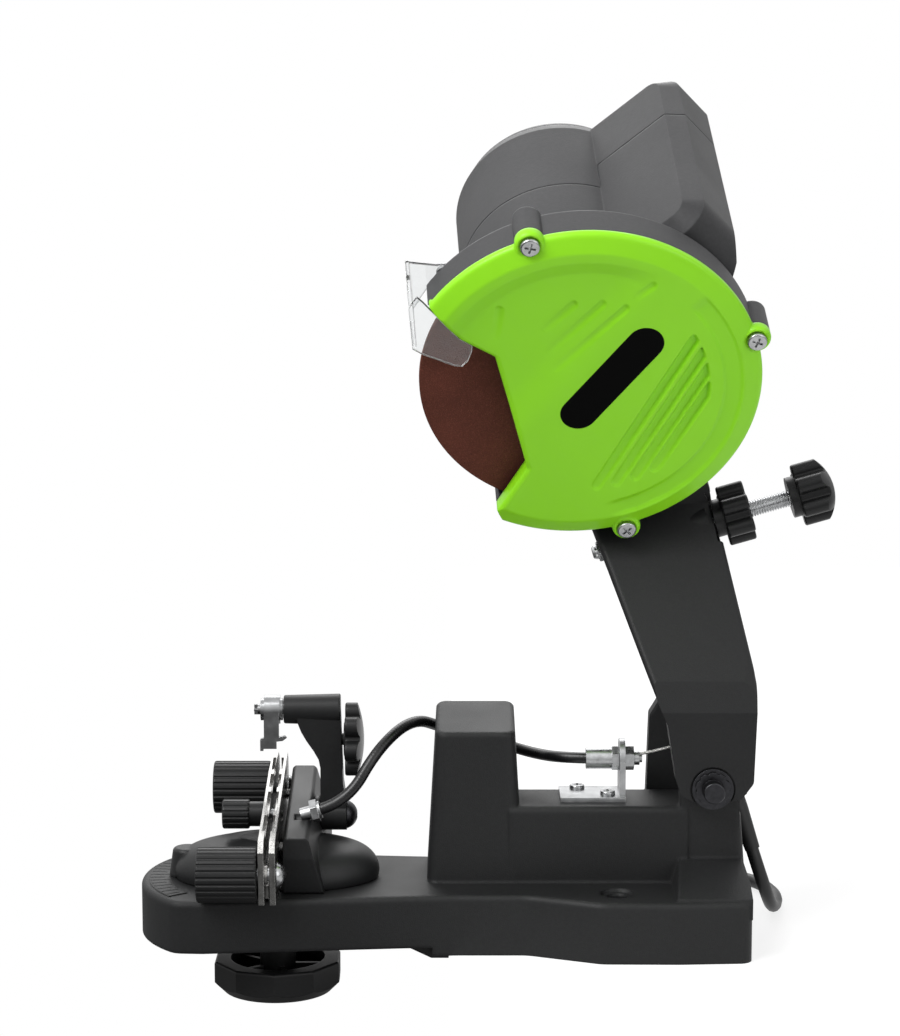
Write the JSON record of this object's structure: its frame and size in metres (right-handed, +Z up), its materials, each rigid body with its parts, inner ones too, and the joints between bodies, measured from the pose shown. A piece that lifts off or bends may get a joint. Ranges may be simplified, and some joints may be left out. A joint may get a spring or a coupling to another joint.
{
  "type": "electric chainsaw sharpener",
  "caption": "Bench-mounted electric chainsaw sharpener: tilting motor head with guarded grinding wheel over a swivelling chain vise on a black cast base.",
  "frame": {"origin": "on the bench plane, midway between the two bench bolt holes", "axes": "+X towards the arm's hinge end, +Y away from the wheel guard's front, +Z up"},
  "size_m": [0.3293, 0.2664, 0.4284],
  "materials": {
    "casting_black": "fine texture",
    "arm_black": "satin",
    "knob_black": "satin",
    "motor_graphite": "fine texture",
    "cover_green": "semi-gloss",
    "label_black": "gloss",
    "abrasive_red": "gritty",
    "zinc_steel": "bright zinc",
    "rail_steel": "bright",
    "screw_steel": "bright",
    "black_steel": "black oxide",
    "clear_plastic": "clear",
    "cable_black": "semi-matte",
    "lead_black": "matte",
    "plug_black": "matte",
    "wire_steel": "stranded",
    "laminations": "stamped",
    "fan_plastic": "moulded",
    "rocker_red": "gloss"
  },
  "bodies": {
    "base": {"base_casting": "casting_black", "cable_bracket": "zinc_steel", "bracket_screws": "screw_steel", "rear_ferrule": "zinc_steel", "cable_sheath": "cable_black", "inner_wire": "wire_steel", "pivot_bolt": "black_steel", "pivot_rings": "black_steel", "return_spring": "black_steel", "cord_gland": "plug_black", "power_cord": "lead_black", "cord_coil": "lead_black", "mains_plug": "plug_black"},
    "vise": {"turntable": "casting_black", "turntable_stud": "zinc_steel", "fixed_rail": "rail_steel", "rail_spacers": "zinc_steel", "rail_bolts": "screw_steel", "jaw_springs": "black_steel", "front_ferrule": "zinc_steel", "bracket_screw": "black_steel"},
    "jaw": {"movable_rail": "rail_steel", "jaw_pins": "zinc_steel"},
    "lock_screw": {"small_knob": "knob_black", "adjuster_screw": "zinc_steel"},
    "near_nut": {"knob_near": "knob_black"},
    "far_nut": {"knob_far": "knob_black"},
    "pawl_arm": {"pawl_bracket": "casting_black", "pawl_pin": "zinc_steel"},
    "pawl_clamp": {"star_knob": "knob_black"},
    "pawl_finger": {"pawl": "zinc_steel", "pawl_bushing": "screw_steel"},
    "under_knob": {"clamp_knob": "knob_black", "clamp_washer": "zinc_steel"},
    "arm_head": {"arm": "arm_black", "wire_nipple": "zinc_steel", "disc_housing": "motor_graphite", "wheel_cover": "cover_green", "cover_screws": "screw_steel", "label_plate": "label_black", "clear_shield": "clear_plastic", "shield_screws": "screw_steel", "motor_shell_front": "motor_graphite", "motor_shell_rear": "motor_graphite", "shell_screws": "screw_steel", "switch_frame": "knob_black", "stator": "laminations", "bearings": "screw_steel"},
    "stop_screw": {"depth_screw": "zinc_steel", "end_knob": "knob_black"},
    "stop_lock": {"lock_knob": "knob_black"},
    "spindle": {"motor_shaft": "zinc_steel", "rotor": "laminations", "fan": "fan_plastic", "wheel_flanges": "zinc_steel", "arbor_nut": "black_steel", "grinding_wheel": "abrasive_red"},
    "rocker": {"switch_rocker": "rocker_red"}
  },
  "joints": [
    {"name": "arm_lower", "type": "hinge", "parent": "base", "child": "arm_head", "pos_m": [0.0441, 0, 0.077], "axis": [0, -1, 0], "range_deg": [0, 42], "stiffness_Nm_per_rad": 5, "springref_deg": -35.52, "deforming": ["inner_wire", "return_spring"]},
    {"name": "wheel_spin", "type": "hinge", "parent": "arm_head", "child": "spindle", "pos_m": [-0.0194, -0.03, 0.2699], "axis": [-0.0436, 0.866, 0.4981], "continuous": true},
    {"name": "switch_press", "type": "hinge", "parent": "arm_head", "child": "rocker", "pos_m": [0.023, 0.07498, 0.37618], "axis": [0.9962, 0, 0.0872], "range_deg": [0, 14]},
    {"name": "vise_turn", "type": "hinge", "parent": "base", "child": "vise", "pos_m": [-0.16, 0, 0.0288], "axis": [0, 0, 1], "range_deg": [-35, 35], "deforming": ["cable_sheath"]},
    {"name": "turntable_clamp_turn", "type": "hinge", "parent": "vise", "child": "under_knob", "pos_m": [-0.16, 0, -0.02], "axis": [0, 0, 1], "continuous": true},
    {"name": "jaw_close", "type": "slide", "parent": "vise", "child": "jaw", "axis": [-1, 0, 0], "range_m": [0, 0.0009]},
    {"name": "near_nut_turn", "type": "hinge", "parent": "vise", "child": "near_nut", "pos_m": [-0.18, -0.04907, 0.04233], "axis": [1, 0, 0], "continuous": true},
    {"name": "far_nut_turn", "type": "hinge", "parent": "vise", "child": "far_nut", "pos_m": [-0.18, 0.04941, 0.0597], "axis": [1, 0, 0], "continuous": true},
    {"name": "lock_screw_turn", "type": "hinge", "parent": "vise", "child": "lock_screw", "pos_m": [-0.175, -0.00122, 0.05889], "axis": [1, 0, 0], "continuous": true},
    {"name": "pawl_arm_swing", "type": "hinge", "parent": "vise", "child": "pawl_arm", "pos_m": [-0.133, 0.02, 0.0534], "axis": [1, 0, 0], "range_deg": [-6, 6]},
    {"name": "pawl_clamp_turn", "type": "hinge", "parent": "pawl_arm", "child": "pawl_clamp", "pos_m": [-0.1285, 0.02, 0.0903], "axis": [1, 0, 0], "continuous": true},
    {"name": "pawl_flip", "type": "hinge", "parent": "pawl_arm", "child": "pawl_finger", "pos_m": [-0.163, 0.02, 0.1049], "axis": [1, 0, 0], "range_deg": [0, 60], "stiffness_Nm_per_rad": 0.004, "springref_deg": -20.05},
    {"name": "stop_screw_travel", "type": "slide", "parent": "arm_head", "child": "stop_screw", "axis": [-0.9618, 0, -0.2739], "range_m": [-0.008, 0.01]},
    {"name": "stop_lock_turn", "type": "hinge", "parent": "arm_head", "child": "stop_lock", "pos_m": [0.05163, 0.025, 0.19718], "axis": [0.9618, 0, 0.2739], "continuous": true}
  ],
  "couplings": [
    {"joint": "jaw_close", "follows": "arm_lower", "m_per_rad": 0.0012265}
  ]
}
